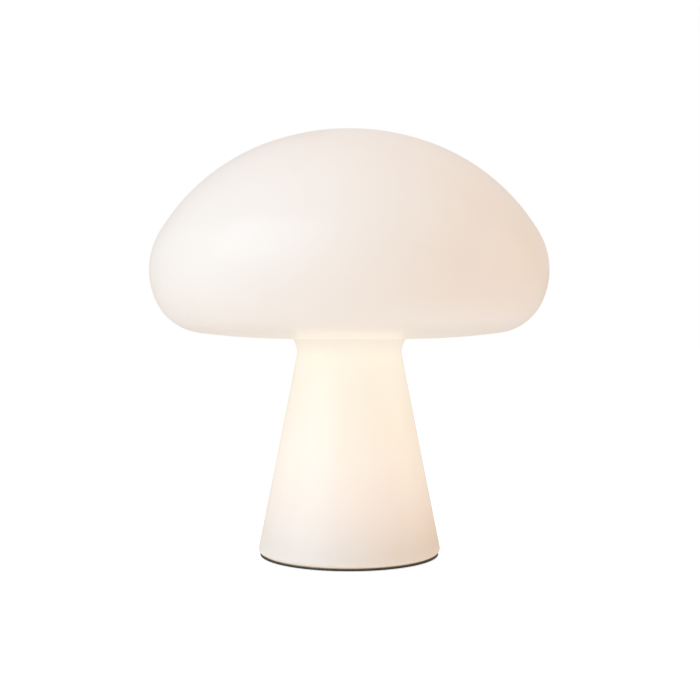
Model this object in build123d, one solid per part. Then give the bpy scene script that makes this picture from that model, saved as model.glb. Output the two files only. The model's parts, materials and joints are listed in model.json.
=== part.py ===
"""Mushroom table lamp: a blown opal glass shade on a steel base, with an E14 lampholder and an LED bulb.

Millimetres. The Z axis is the lamp's own axis, Z = 0 is the table, and the cord inlet is at the back, on +Y.
"""

from build123d import *
import math
import os

# ---------------------------------------------------------------- driving dimensions

# Glass shade. The outline is a chain of tangent arcs from the apex down to the foot.
lamp_height = 235.2
crown_radius = 131.2
crown_angle = 21.7
shoulder_radius = 113.4
shoulder_angle = 38.1
rim_radius = 40.1
rim_angle = 57.7
under_rim_radius = 28.9
under_rim_angle = 54.9
neck_radius = 29.3
neck_corner = 1.5
neck_corner_angle = 60.0
neck_sweep = 13.0
stem_flare_angle = 11.18
foot_fillet = 2.2
inner_foot_fillet = 0.6
glass_wall = 2.8
glass_lip = 6.0

# Base unit
felt_thickness = 0.6
plate_thickness = 0.8
plate_proud = 1.3
dome_rise = 4.0
dome_bend = 1.6
gasket_thickness = 0.4
gasket_upstand = 2.8
felt_inset = 7.8

# Cord bush in the back of the glass foot
cord_diameter = 6.0
cord_clearance = 0.1
bush_wall = 0.9
bush_flange_proud = 1.5
bush_flange_thickness = 2.0
tab_width = 13.0
tab_corner = 4.0
tab_reach = 9.0

# Spring clips that grip the inside of the stem
clip_count = 3
clip_first_angle = 30.0
clip_width = 8.0
clip_thickness = 0.8
clip_foot = 9.0
clip_bulge_height = 20.0
clip_lead_in = 7.0
sleeve_thickness = 0.8
sleeve_length = 9.0
rivet_radius = 1.0
rivet_head_radius = 1.6
rivet_head_height = 0.7

# Bracket and lampholder
bracket_width = 17.0
bracket_thickness = 1.5
bracket_height = 11.5
bracket_span = 32.0
bracket_foot = 10.5
nipple_radius = 5.0
nipple_wall = 1.3
nipple_grip = 7.0
nut_thickness = 3.0
nut_across_flats = 14.0
washer_thickness = 0.8
washer_radius = 8.4
washer_teeth = 12
screw_radius = 1.95
screw_head_radius = 3.5
screw_head_height = 2.2
screw_nut_thickness = 2.6
screw_nut_across_flats = 7.0
holder_radius = 14.0
holder_wall = 1.6
holder_boss_radius = 8.4
dome_height = 10.5
core_depth = 10.5
skirt_height = 29.5
skirt_mouth_radius = 9.4
terminal_size = 4.0
terminal_height = 7.0
terminal_screw_radius = 1.25

# Edison screw E14: the bulb's cap and the shell that it turns in
thread_pitch = 2.822
thread_centre_radius = 6.08
thread_crest = 0.82
cap_core_radius = 6.2
cap_wall = 0.45
cap_turns = 4.0
cap_skirt_radius = 7.0
cap_skirt_height = 4.0
shell_height = 18.6
thread_clearance = 0.14
shell_wall = 0.34
ridge_foot = 2.3
ridge_crest = 0.64
ridge_clearance = 0.2
ridge_run_out = 1.3
sleeve_wall = 1.4

# LED bulb
bulb_length = 75.0
globe_radius = 22.5
globe_wall = 1.2
globe_mouth_radius = 14.8
collar_wall = 1.5
collar_flank_radius = 48.0
contact_radius = 2.4
contact_height = 1.5
insulator_height = 3.6
board_radius = 13.6
board_thickness = 1.2
board_ledge = 1.2
board_depth = 1.0
led_count = 8
led_ring_radius = 9.5
led_size = 3.0
led_height = 0.7
driver_width = 9.6
driver_thickness = 1.0
capacitor_radius = 2.3
capacitor_height = 8.0
coil_width = 6.0
coil_depth = 4.0
coil_height = 5.0
rectifier_width = 5.0
rectifier_depth = 1.6
rectifier_height = 4.0
part_spacing = 2.0
lead_radius = 0.35

# Fits
screw_fit = 0.05
slip_fit = 0.1
soft_gap = 0.3
running_gap = 0.4

# ---------------------------------------------------------------- levels and shared places

plate_bottom = felt_thickness
plate_top = plate_bottom + plate_thickness
dome_top = plate_top + dome_rise
dome_under = dome_top - plate_thickness
glass_foot = plate_top + gasket_thickness
lip_top = glass_foot + glass_wall

bracket_top = dome_top + bracket_height
bracket_under = bracket_top - bracket_thickness
core_bottom = bracket_top + dome_height - (holder_radius - holder_boss_radius) / 2
holder_split = bracket_top + dome_height
core_floor = core_bottom + core_depth
skirt_top = holder_split + skirt_height

contact_tip = core_floor + 2.3
insulator_bottom = contact_tip + contact_height / 2
thread_start = insulator_bottom + insulator_height + 0.9
thread_end = thread_start + cap_turns * thread_pitch
cap_skirt_bottom = thread_end + 1.0
cap_top = cap_skirt_bottom + cap_skirt_height
collar_bottom = cap_top - cap_skirt_height / 2
globe_top = contact_tip + bulb_length
globe_centre = globe_top - globe_radius
collar_top = globe_centre - math.sqrt(globe_radius**2 - globe_mouth_radius**2)
board_bottom = collar_top - board_thickness - board_depth

bush_body_radius = cord_diameter / 2 + cord_clearance + bush_wall
bush_flange_radius = bush_body_radius + bush_flange_proud
bush_height = plate_top + bush_flange_radius + soft_gap

NODES = {}


# ---------------------------------------------------------------- helpers


def ring(outer, inner, bottom, top):
    """A plain tube about the Z axis."""
    return rod(outer, bottom, top) - rod(inner, bottom - 1, top + 1)


def rod(radius, bottom, top):
    """A round bar along the Z axis."""
    return Pos(0, 0, (bottom + top) / 2) * Cylinder(radius, top - bottom)


def turned(points):
    """The solid that a closed outline of (radius, height) points makes about the Z axis."""
    outline = Polyline(*points, close=True)
    return revolve(Plane.XZ * make_face(outline), Axis.Z)


def folded_strip(points, thickness, width, bend):
    """A strip of sheet metal: a centreline of (X, Z) points with round bends, and its width along Y."""
    centreline = FilletPolyline(*points, radius=bend)
    section = Plane.XZ * trace(centreline, thickness)
    return extrude(section, width / 2, both=True)


def hexagon_nut(across_flats, bore, bottom, thickness):
    """A hexagon nut about the Z axis."""
    flats = RegularPolygon(across_flats / 2, 6, major_radius=False)
    nut = Pos(0, 0, bottom) * extrude(flats - Circle(bore), thickness)
    return nut


def around(solid, count, first_angle=0.0):
    """Copies of a solid, turned evenly about the Z axis."""
    return [Rot(0, 0, first_angle + 360 / count * k) * solid for k in range(count)]


def helical_bar(section, radius, start, turns, shift=0.0):
    """A section swept along the Edison thread's helix. Its phase depends on height alone, so threads mesh."""
    path = Helix(thread_pitch, turns * thread_pitch, radius)
    end_plane = Plane(origin=path @ 0, x_dir=(1, 0, 0), z_dir=path % 0)
    bar = sweep(end_plane * section, path=path, is_frenet=True)
    phase = (start % thread_pitch) / thread_pitch * 360
    return Pos(0, 0, start) * Rot(0, 0, phase + shift) * bar


# ---------------------------------------------------------------- glass shade


def shade_chain(inset):
    """The shade's outline from the apex to the foot, moved inwards by inset, as a list of edges."""
    edges = []
    at, heading = (0, lamp_height - inset), 0.0

    def turn(radius, degrees):
        """Adds an arc that curves downwards where radius is positive, and upwards where it is negative."""
        nonlocal at, heading
        tangent = (math.cos(math.radians(heading)), -math.sin(math.radians(heading)))
        arc = JernArc(at, tangent, abs(radius), -math.copysign(degrees, radius))
        edges.append(arc)
        at = (arc @ 1).X, (arc @ 1).Y
        heading += math.copysign(degrees, radius)

    turn(crown_radius - inset, crown_angle)
    turn(shoulder_radius - inset, shoulder_angle)
    turn(rim_radius - inset, rim_angle)
    turn(under_rim_radius - inset, under_rim_angle)

    # The underside is one arc that meets the neck's corner level, so its radius follows from its ends.
    underside_angle = 180 - heading
    corner_share = math.sin(math.radians(neck_corner_angle))
    corner_end = neck_radius + neck_corner * corner_share + neck_sweep * (1 - corner_share)
    underside_run = at[0] - corner_end
    turn(underside_run / math.sin(math.radians(underside_angle)), underside_angle)
    turn(-(neck_corner + inset), neck_corner_angle)
    turn(-(neck_sweep + inset), 90 - neck_corner_angle + stem_flare_angle)

    # The straight stem ends where the foot's fillet begins.
    foot_round = max(foot_fillet - inset, inner_foot_fillet)
    foot_start = glass_foot + inset + foot_round * (1 + math.sin(math.radians(stem_flare_angle)))
    drop = at[1] - foot_start
    foot_point = (at[0] + drop * math.tan(math.radians(stem_flare_angle)), foot_start)
    edges.append(Line(at, foot_point))
    at = foot_point
    turn(foot_round, 90 + stem_flare_angle)
    return edges


def stem_radius(height, inset=0.0):
    """Radius of the straight stem at a height."""
    stem = shade_chain(inset)[-2]
    top = stem @ 0
    return top.X + (top.Y - height) * math.tan(math.radians(stem_flare_angle))


foot_flat_radius = (shade_chain(0)[-1] @ 1).X
foot_radius = stem_radius(glass_foot + foot_fillet * (1 + math.sin(math.radians(stem_flare_angle))))
opening_radius = foot_flat_radius - glass_lip
plate_radius = foot_flat_radius + plate_proud
dome_radius = opening_radius - gasket_upstand - soft_gap


def glass_shade():
    outside, inside = shade_chain(0), shade_chain(glass_wall)
    lip_centre = (opening_radius + glass_wall / 2, (glass_foot + lip_top) / 2)
    foot_end, inner_end = outside[-1] @ 1, inside[-1] @ 1
    lip = [
        Line(foot_end, (lip_centre[0], glass_foot)),
        ThreePointArc((lip_centre[0], glass_foot), (opening_radius, lip_centre[1]), (lip_centre[0], lip_top)),
        Line((lip_centre[0], lip_top), inner_end),
    ]
    apex = Line((0, lamp_height), (0, lamp_height - glass_wall))
    section = make_face(Curve() + [*outside, *lip, *inside, apex])
    shade = revolve(Plane.XZ * section, Axis.Z)
    return shade - notch(bush_body_radius + soft_gap, opening_radius - 1)


def notch(half_width, start):
    """An upside-down U, open at the bottom, for the cord bush. It runs from start out through the glass."""
    run = foot_radius + glass_wall - start
    round_end = Pos(0, start + run / 2, bush_height) * Rot(90, 0, 0) * Cylinder(half_width, run)
    straight = Pos(0, start + run / 2, bush_height / 2) * Box(2 * half_width, run, bush_height)
    return round_end + straight


# ---------------------------------------------------------------- base unit


def base_plate():
    """A stamped disc: a flat rim that the glass stands on, and a raised middle that centres it."""
    middle = plate_thickness / 2
    centreline = FilletPolyline(
        (plate_radius, plate_bottom + middle),
        (dome_radius - middle, plate_bottom + middle),
        (dome_radius - middle, dome_top - middle),
        (0, dome_top - middle),
        radius=dome_bend,
    )
    plate = revolve(Plane.XZ * trace(centreline, plate_thickness), Axis.Z)

    # The tab for the cord bush is cut from the raised middle and bent up, which leaves a window behind it.
    tab_height = bush_height + bush_flange_radius + 1.0
    tab = Pos(0, dome_radius - plate_thickness / 2, (plate_bottom + tab_height) / 2) * Box(
        tab_width, plate_thickness, tab_height - plate_bottom
    )
    tab = fillet(tab.edges().filter_by(Axis.Y).group_by(Axis.Z)[-1], tab_corner)
    window = Pos(0, tab_back - tab_reach / 2, plate_top + dome_rise) * Box(
        tab_width, tab_reach, 2 * dome_rise
    )
    bush_hole = Pos(0, dome_radius, bush_height) * Rot(90, 0, 0) * Cylinder(bush_body_radius + slip_fit, 4)
    bend_relief = Pos(0, dome_radius + dome_bend, plate_top + dome_bend) * Box(
        tab_width, 2 * dome_bend, 2 * dome_bend
    )
    plate = plate - window - bend_relief + tab - bush_hole

    for x in (-screw_place, screw_place):
        plate -= Pos(x, 0, dome_top) * Cylinder(screw_radius + slip_fit, 4 * plate_thickness)
    for place in rivet_places():
        plate -= place * Cylinder(rivet_radius, 8 * plate_thickness)
    return plate


tab_back = dome_radius - plate_thickness
screw_place = (bracket_span + bracket_foot) / 2


def felt_pad():
    return rod(plate_radius - felt_inset, 0, felt_thickness)


def rim_gasket():
    """A silicone ring between glass and steel, with a lip that fills the gap round the raised middle."""
    inner = dome_radius + soft_gap / 2
    upstand_outer = opening_radius - soft_gap
    bevel = dome_bend - plate_thickness / 2
    gasket = turned(
        [
            (inner, plate_top + bevel),
            (inner + bevel, plate_top),
            (foot_flat_radius, plate_top),
            (foot_flat_radius, glass_foot),
            (upstand_outer, glass_foot),
            (upstand_outer, lip_top - soft_gap),
            (inner, lip_top - soft_gap),
        ]
    )
    return gasket - notch(tab_width / 2 + soft_gap, inner - 2)


def cord_bush():
    """A rubber bush: its groove holds the tab, and its body lies in the notch of the glass."""
    outer_face = foot_radius + running_gap
    flange = bush_flange_thickness
    stretches = [
        (tab_back - flange, tab_back, bush_flange_radius),
        (tab_back, outer_face, bush_body_radius),
        (dome_radius, dome_radius + flange, bush_flange_radius),
        (outer_face, outer_face + flange, bush_flange_radius),
    ]
    bush = Part()
    for start, end, radius in stretches:
        bush += Pos(0, (start + end) / 2, bush_height) * Rot(90, 0, 0) * Cylinder(radius, end - start)
    bore = Cylinder(cord_diameter / 2 + cord_clearance, 4 * foot_radius)
    return bush - Pos(0, 0, bush_height) * Rot(90, 0, 0) * bore


# ---------------------------------------------------------------- spring clips


def clip_points():
    """Centreline of a spring clip, as (radius, height) points: its foot, arm, bulge and lead-in."""
    foot_level = dome_top + clip_thickness / 2
    foot_outer = dome_radius - dome_bend - clip_thickness
    bulge_level = dome_top + clip_bulge_height
    bulge = stem_radius(bulge_level, glass_wall) - running_gap - sleeve_thickness - clip_thickness / 2
    return [
        (foot_outer - clip_foot, foot_level),
        (foot_outer, foot_level),
        (bulge, bulge_level),
        (bulge - clip_lead_in / 2, bulge_level + clip_lead_in),
    ]


def spring_clip():
    clip = folded_strip(clip_points(), clip_thickness, clip_width, dome_bend)
    for x in rivet_radii():
        clip -= Pos(x, 0, dome_top) * Cylinder(rivet_radius, 8 * clip_thickness)
    return clip


def clip_sleeve(clip):
    """A silicone sleeve round the clip's bulge, so that no metal touches the glass."""
    foot, bend, bulge, tip = [Vector(r, h) for r, h in clip_points()]
    below = bulge + (bend - bulge).normalized() * sleeve_length / 2
    above = bulge + (tip - bulge).normalized() * sleeve_length / 2
    sleeve = folded_strip(
        [(p.X, p.Y) for p in (below, bulge, above)],
        clip_thickness + 2 * sleeve_thickness,
        clip_width + 2 * sleeve_thickness,
        dome_bend,
    )
    return sleeve - clip


def rivet_radii():
    """Where the two rivets of a clip sit, along its foot."""
    inner, outer = clip_points()[0][0], clip_points()[1][0]
    return [inner + (outer - inner) * share for share in (0.22, 0.62)]


def rivet_places():
    return [
        Rot(0, 0, clip_first_angle + 360 / clip_count * k) * Pos(r, 0, dome_top)
        for k in range(clip_count)
        for r in rivet_radii()
    ]


def clip_rivet():
    """A rivet through a clip's foot and the plate, drawn with the plate's top at Z = 0."""
    shank = rod(rivet_radius, -plate_thickness, clip_thickness)
    top_head = Pos(0, 0, clip_thickness) * rivet_head()
    bottom_head = Pos(0, 0, -plate_thickness) * Rot(180, 0, 0) * rivet_head()
    return shank + top_head + bottom_head


def rivet_head():
    """A low round head, flat side down at Z = 0."""
    ball_radius = (rivet_head_radius**2 + rivet_head_height**2) / (2 * rivet_head_height)
    ball = Pos(0, 0, rivet_head_height - ball_radius) * Sphere(ball_radius)
    return ball & Pos(0, 0, rivet_head_height) * Box(
        4 * rivet_head_radius, 4 * rivet_head_radius, 2 * rivet_head_height
    )


# ---------------------------------------------------------------- bracket and its fasteners


def holder_bracket():
    half, middle = bracket_thickness / 2, bracket_span / 2
    points = [
        (-middle - bracket_foot, dome_top + half),
        (-middle, dome_top + half),
        (-middle, bracket_top - half),
        (middle, bracket_top - half),
        (middle, dome_top + half),
        (middle + bracket_foot, dome_top + half),
    ]
    bracket = folded_strip(points, bracket_thickness, bracket_width, bracket_thickness)
    bracket -= Pos(0, 0, bracket_top) * Cylinder(nipple_radius + slip_fit, 4 * bracket_thickness)
    for x in (-screw_place, screw_place):
        bracket -= Pos(x, 0, dome_top) * Cylinder(screw_radius + slip_fit, 4 * bracket_thickness)
    return bracket


def bracket_screw(x):
    """A pan-head screw with a cross recess, down through the bracket's foot, the plate and its nut."""
    head_bottom = dome_top + bracket_thickness
    tip = dome_under - screw_nut_thickness
    shank = Pos(x, 0, (tip + head_bottom) / 2) * Cylinder(screw_radius, head_bottom - tip)
    head = Pos(x, 0, head_bottom + screw_head_height / 2) * Cylinder(screw_head_radius, screw_head_height)
    head = fillet(head.edges().group_by(Axis.Z)[-1], screw_head_height / 3)
    recess = Box(screw_head_radius, 0.8, screw_head_height) + Box(0.8, screw_head_radius, screw_head_height)
    return shank + head - Pos(x, 0, head_bottom + screw_head_height) * recess


def nipple():
    """The hollow threaded tube that holds the lampholder to the bracket and lets the wires through."""
    bottom = bracket_under - washer_thickness - nut_thickness - 1.0
    return ring(nipple_radius, nipple_radius - nipple_wall, bottom, bracket_top + nipple_grip)


def lock_washer():
    """A toothed washer under the bracket."""
    disc = Circle(washer_radius) - Circle(nipple_radius + slip_fit)
    gap_width = math.pi * washer_radius / washer_teeth
    gap = Pos(washer_radius, 0) * Rectangle(washer_radius / 3, gap_width)
    for k in range(washer_teeth):
        disc -= Rot(0, 0, 360 / washer_teeth * k) * gap
    return Pos(0, 0, bracket_under - washer_thickness) * extrude(disc, washer_thickness)


# ---------------------------------------------------------------- lampholder


def holder_dome():
    """The lower half of the lampholder's casing. It screws on to the nipple."""
    bore, cavity = nipple_radius + screw_fit, holder_radius - holder_wall
    boss_top = bracket_top + nipple_grip
    outline = Polyline(
        (bore, boss_top),
        (bore, bracket_top),
        (holder_boss_radius, bracket_top),
        (holder_boss_radius, bracket_top + holder_wall),
    )
    flank = RadiusArc(
        (holder_boss_radius, bracket_top + holder_wall),
        (holder_radius, core_bottom),
        holder_radius,
    )
    inner = Polyline(
        (holder_radius, core_bottom),
        (holder_radius, holder_split),
        (cavity, holder_split),
        (cavity, core_bottom - slip_fit),
        (bore + holder_wall, core_bottom - slip_fit),
        (bore + holder_wall, boss_top),
        (bore, boss_top),
    )
    return revolve(Plane.XZ * make_face(Curve() + [outline, flank, inner]), Axis.Z)


def holder_skirt():
    """The upper half of the casing, which hides the screw shell and keeps fingers off it."""
    inner = holder_radius - holder_wall
    skirt = turned(
        [
            (holder_radius, holder_split),
            (holder_radius - 0.8, skirt_top),
            (skirt_mouth_radius, skirt_top),
            (skirt_mouth_radius, skirt_top - holder_wall),
            (inner - 0.8, skirt_top - holder_wall),
            (inner, holder_split),
        ]
    )
    return fillet(skirt.edges().filter_by(GeomType.CIRCLE).group_by(Axis.Z)[-1], 0.5)


core_radius = holder_radius - holder_wall - 0.5
shell_crest_radius = thread_centre_radius + thread_crest + thread_clearance + shell_wall
shell_bottom = core_floor + slip_fit
shell_top = shell_bottom + shell_height
terminal_bottom = core_bottom + 1.0


def terminal_offset():
    """How far the two terminal blocks lie from the axis, centre to centre along Y."""
    return core_radius - terminal_size


def holder_core():
    """The insulating middle of the lampholder: a block for the terminals and a tube round the screw shell."""
    bore = shell_crest_radius + slip_fit
    core = ring(bore + sleeve_wall, bore, core_floor, shell_top)
    core += rod(core_radius, core_bottom, core_floor)
    pocket_size = terminal_size + 2 * slip_fit
    pocket_height = terminal_bottom + terminal_height + slip_fit - core_bottom
    for side in (-1, 1):
        pocket = Pos(0, side * terminal_offset(), core_bottom + pocket_height / 2) * Box(
            pocket_size, pocket_size, pocket_height
        )
        driver_way = Pos(0, side * core_radius, terminal_bottom + terminal_height / 2) * Rot(90, 0, 0)
        core = core - pocket - driver_way * Cylinder(terminal_screw_radius + 0.35, 2 * terminal_size)
    return core


def terminal_block(side):
    """A brass block with a wire hole from below and a clamping screw from the side."""
    place = Pos(0, side * terminal_offset(), terminal_bottom + terminal_height / 2)
    block = place * Box(terminal_size, terminal_size, terminal_height)
    wire_hole = place * Pos(0, 0, -terminal_height / 2) * Cylinder(1.0, terminal_height)
    screw_hole = place * Pos(0, side * terminal_size / 2, 0) * Rot(90, 0, 0) * Cylinder(
        terminal_screw_radius, terminal_size
    )
    return block - wire_hole - screw_hole


def terminal_screw(side):
    """A small slotted screw that stands just inside the core's surface."""
    length = terminal_size * 0.7
    centre = side * (core_radius - terminal_size / 2 - 0.2 - length / 2 + terminal_size / 3)
    place = Pos(0, centre, terminal_bottom + terminal_height / 2) * Rot(90, 0, 0)
    slot = Pos(0, side * (core_radius - 0.2 - terminal_size / 6), terminal_bottom + terminal_height / 2)
    return place * Cylinder(terminal_screw_radius, length) - slot * Box(4, 0.9, 0.6)


def thread_shell():
    """The brass screw shell: a thin tube with the ridge that the bulb's thread runs on, half a pitch away."""
    inner = shell_crest_radius - shell_wall
    rooted = shell_crest_radius - shell_wall / 2
    ridge_depth = rooted - (cap_core_radius + ridge_clearance)
    foot, crest = ridge_foot / 2, ridge_crest / 2
    outline = Polyline((0, -foot), (-ridge_depth, -crest), (-ridge_depth, crest), (0, foot), close=True)
    turns = (shell_height - 2 * ridge_run_out) / thread_pitch
    ridge = helical_bar(make_face(outline), rooted, shell_bottom + ridge_run_out, turns, shift=180)
    return ring(shell_crest_radius, inner, shell_bottom, shell_top) + ridge


def centre_contact():
    """The sprung bronze tongue that touches the bulb's centre contact."""
    thickness = 0.4
    low = core_floor + thickness / 2 + screw_fit
    high = contact_tip - thickness / 2 - screw_fit
    reach = cap_core_radius - 1.0
    return folded_strip([(-reach, low), (-reach / 2, low), (0, high), (reach / 2, high)], thickness, 3.6, 0.8)


# ---------------------------------------------------------------- LED bulb


def cap_contact():
    """The solder button at the bulb's tip."""
    button = Pos(0, 0, contact_tip + contact_height / 2) * Cylinder(contact_radius, contact_height)
    return fillet(button.edges().group_by(Axis.Z)[0], contact_height / 2 - 0.05)


def cap_insulator():
    """The glass cone between the button and the cap."""
    top = insulator_bottom + insulator_height
    cone = turned(
        [
            (lead_radius + screw_fit, contact_tip + contact_height),
            (contact_radius, contact_tip + contact_height),
            (contact_radius, insulator_bottom),
            (contact_radius + 0.8, insulator_bottom),
            (cap_core_radius - cap_wall, top),
            (lead_radius + screw_fit, top),
        ]
    )
    return cone


def bulb_cap():
    """The nickel-plated screw cap with its rolled thread."""
    bottom = insulator_bottom + insulator_height
    core = ring(cap_core_radius, cap_core_radius - cap_wall, bottom, cap_skirt_bottom)
    bore = rod(cap_core_radius - cap_wall, bottom - 2, cap_top)
    bar = helical_bar(Circle(thread_crest), thread_centre_radius, thread_start, cap_turns)
    collar = turned(
        [
            (cap_core_radius - cap_wall, cap_skirt_bottom - 0.6),
            (cap_core_radius, cap_skirt_bottom - 0.6),
            (cap_skirt_radius, cap_skirt_bottom),
            (cap_skirt_radius, cap_top),
            (cap_core_radius - cap_wall, cap_top),
        ]
    )
    return core + (bar - bore) + collar


def bulb_collar():
    """The white housing between cap and globe. It holds the LED board on a ledge."""
    bore = cap_skirt_radius + screw_fit
    ledge_radius = board_radius - board_ledge
    flank = RadiusArc(
        (bore + collar_wall, collar_bottom), (globe_mouth_radius, collar_top), collar_flank_radius
    )
    inner = Polyline(
        (globe_mouth_radius, collar_top),
        (board_radius + slip_fit, collar_top),
        (board_radius + slip_fit, board_bottom),
        (ledge_radius, board_bottom),
        (bore, cap_top + 1.0),
        (bore, collar_bottom),
        (bore + collar_wall, collar_bottom),
    )
    return revolve(Plane.XZ * make_face(Curve() + [flank, inner]), Axis.Z)


def bulb_globe():
    """The opal globe, cut flat where it stands on the collar."""
    shell = Sphere(globe_radius) - Sphere(globe_radius - globe_wall)
    below = Pos(0, 0, collar_top - globe_centre - globe_radius) * Box(
        3 * globe_radius, 3 * globe_radius, 2 * globe_radius
    )
    return Pos(0, 0, globe_centre) * (shell - below)


def led_board():
    return rod(board_radius, board_bottom, board_bottom + board_thickness)


def led_chips():
    level = board_bottom + board_thickness + led_height / 2
    chip = Pos(led_ring_radius, 0, level) * Box(led_size, led_size * 0.9, led_height)
    return around(chip, led_count)


driver_bottom = thread_start + thread_pitch


def driver_board():
    return Pos(0, 0, (driver_bottom + board_bottom) / 2) * Box(
        driver_width, driver_thickness, board_bottom - driver_bottom
    )


def driver_parts():
    """The parts on the driver board: a smoothing capacitor, a coil and a bridge rectifier."""
    face = driver_thickness / 2
    low, high = driver_bottom + part_spacing, board_bottom - part_spacing
    capacitor = Pos(0, face + capacitor_radius, low + capacitor_height / 2) * Cylinder(
        capacitor_radius, capacitor_height
    )
    coil = Pos(0, -face - coil_depth / 2, high - coil_height / 2) * Box(coil_width, coil_depth, coil_height)
    rectifier = Pos(0, -face - rectifier_depth / 2, low + rectifier_height / 2) * Box(
        rectifier_width, rectifier_depth, rectifier_height
    )
    return [capacitor, coil, rectifier]


def driver_lead():
    """The wire from the board down to the centre contact."""
    return rod(lead_radius, contact_tip + contact_height, driver_bottom)


# ---------------------------------------------------------------- the whole lamp


def add(name, *solids):
    """Stores one named node, as one solid or as a group of separate ones."""
    shapes = [s for shape in solids for s in shape.solids()]
    NODES[name] = shapes[0] if len(shapes) == 1 else Compound(children=shapes)


add("glass_shade", glass_shade())

add("base_plate", base_plate())
add("felt_pad", felt_pad())
add("rim_gasket", rim_gasket())
add("cord_bush", cord_bush())

one_clip = spring_clip()
one_sleeve = clip_sleeve(one_clip)
for number, (clip, sleeve) in enumerate(
    zip(around(one_clip, clip_count, clip_first_angle), around(one_sleeve, clip_count, clip_first_angle)),
    start=1,
):
    add(f"spring_clip_{number}", clip)
    add(f"clip_sleeve_{number}", sleeve)
add("clip_rivets", *[place * clip_rivet() for place in rivet_places()])

add("holder_bracket", holder_bracket())
add("bracket_screws", bracket_screw(-screw_place), bracket_screw(screw_place))
bracket_nut = hexagon_nut(
    screw_nut_across_flats, screw_radius + screw_fit, dome_under - screw_nut_thickness, screw_nut_thickness
)
add("bracket_nuts", Pos(-screw_place, 0, 0) * bracket_nut, Pos(screw_place, 0, 0) * bracket_nut)
add("nipple", nipple())
add("lock_washer", lock_washer())
add(
    "nipple_nut",
    hexagon_nut(
        nut_across_flats,
        nipple_radius + screw_fit,
        bracket_under - washer_thickness - nut_thickness,
        nut_thickness,
    ),
)

add("holder_dome", holder_dome())
add("holder_skirt", holder_skirt())
add("holder_core", holder_core())
add("terminal_blocks", terminal_block(-1), terminal_block(1))
add("terminal_screws", terminal_screw(-1), terminal_screw(1))
add("thread_shell", thread_shell())
add("centre_contact", centre_contact())

add("cap_contact", cap_contact())
add("cap_insulator", cap_insulator())
add("bulb_cap", bulb_cap())
add("bulb_collar", bulb_collar())
add("bulb_globe", bulb_globe())
add("led_board", led_board())
add("led_chips", *led_chips())
add("driver_board", driver_board())
add("driver_parts", *driver_parts())
add("driver_lead", driver_lead())

os.makedirs("parts", exist_ok=True)
for name, shape in NODES.items():
    shape.label = name
    export_step(shape, f"parts/{name}.step")

turns_to_release = (shell_top - thread_start + thread_crest) / thread_pitch
print(f"glass: foot radius {foot_radius:.2f}, opening {opening_radius:.2f}, plate {plate_radius:.2f}")
bush_end = foot_radius + running_gap + bush_flange_thickness
print(f"cord bush: centre height {bush_height:.2f}, outer face {bush_end:.2f}")
print(f"bulb: tip {contact_tip:.2f}, globe centre {globe_centre:.2f}, top {globe_top:.2f}")
print(f"bulb leaves the shell after {turns_to_release:.2f} turns, {turns_to_release * thread_pitch:.2f} mm")
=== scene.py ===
# %% [markdown]
# # A mushroom table lamp
#
# The lamp is one blown piece of satin opal glass that stands on a thin dark steel base. A small LED bulb in the
# stem lights it from inside, so the stem glows most and the cap is softer. This lesson dresses the exact parts,
# which come in as the frame, with smooth turned pieces and procedural finishes. The frame is loaded first.

# %% Load the frame
import json
import math

import bmesh
import bpy
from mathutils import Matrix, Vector


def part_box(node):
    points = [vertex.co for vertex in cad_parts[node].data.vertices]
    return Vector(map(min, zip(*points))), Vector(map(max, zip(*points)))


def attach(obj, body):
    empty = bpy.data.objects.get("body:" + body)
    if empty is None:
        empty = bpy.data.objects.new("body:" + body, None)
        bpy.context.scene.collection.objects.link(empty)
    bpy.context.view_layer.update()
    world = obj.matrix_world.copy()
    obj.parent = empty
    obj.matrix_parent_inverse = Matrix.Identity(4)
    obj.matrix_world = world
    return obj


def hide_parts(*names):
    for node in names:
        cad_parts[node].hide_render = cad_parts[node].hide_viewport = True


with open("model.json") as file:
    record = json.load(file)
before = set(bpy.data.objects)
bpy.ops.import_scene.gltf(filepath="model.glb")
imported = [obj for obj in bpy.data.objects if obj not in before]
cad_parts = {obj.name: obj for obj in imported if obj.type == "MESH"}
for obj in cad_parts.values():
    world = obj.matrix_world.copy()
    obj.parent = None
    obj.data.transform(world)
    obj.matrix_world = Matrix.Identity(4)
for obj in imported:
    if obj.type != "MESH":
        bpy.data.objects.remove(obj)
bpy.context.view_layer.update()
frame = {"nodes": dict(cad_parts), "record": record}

nodes = frame["nodes"]

# %% [markdown]
# ## Drawing and turning
#
# Nearly every part of a lamp is round about its own axis: blown glass, turned metal, moulded caps. On a lathe the
# maker follows an outline, and here it is the same. One vertex is extruded from point to point, which draws the
# outline in the XZ plane, and the outline is then spun about Z. Outlines are lists of (radius, height) in metres.

# %% Helpers for drawing an outline
MM = 0.001


def deselect_all():
    """Leaves edit mode and deselects everything, because an operator acts on all that is selected."""
    if bpy.context.object and bpy.context.object.mode != "OBJECT":
        bpy.ops.object.mode_set(mode="OBJECT")
    bpy.ops.object.select_all(action="DESELECT")


def draw_outline(name, points):
    """Draws a chain of edges in the XZ plane: one vertex, extruded from each point to the next."""
    deselect_all()
    bpy.ops.mesh.primitive_plane_add(size=MM)
    obj = bpy.context.object
    obj.name = name
    bpy.ops.object.mode_set(mode="EDIT")
    bpy.ops.mesh.select_mode(type="VERT")
    bpy.ops.mesh.select_all(action="SELECT")
    bpy.ops.mesh.merge(type="CENTER")
    bpy.ops.transform.translate(value=(points[0][0], 0, points[0][1]))
    for (r0, z0), (r1, z1) in zip(points[:-1], points[1:]):
        step = {"value": (r1 - r0, 0, z1 - z0)}
        bpy.ops.mesh.extrude_region_move(TRANSFORM_OT_translate=step)
    return obj


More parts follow.
